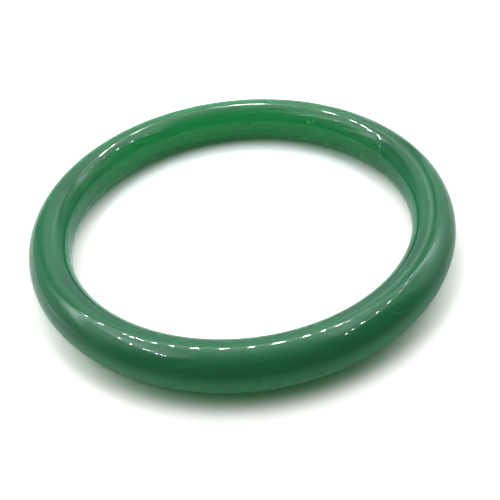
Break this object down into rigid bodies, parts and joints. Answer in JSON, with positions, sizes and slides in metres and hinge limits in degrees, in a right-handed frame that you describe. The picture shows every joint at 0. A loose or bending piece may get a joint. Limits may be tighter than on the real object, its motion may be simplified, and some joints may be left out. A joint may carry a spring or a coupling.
{
  "type": "bangle bracelet",
  "caption": "Closed round bangle of polished green stone with a rounded upright-oval section, worn by sliding the hand through its opening.",
  "frame": {"origin": "on the ring's axis, at the level of the foot that the bangle lies on", "axes": "+Z along the ring's axis, out of the hand opening; the ring is a solid of revolution about it, so X and Y are any two directions across the ring"},
  "size_m": [0.0718, 0.0718, 0.0077],
  "materials": {
    "green_stone": "polished, slightly translucent green stone"
  },
  "bodies": {
    "root": {"bangle": "green_stone"}
  },
  "joints": []
}
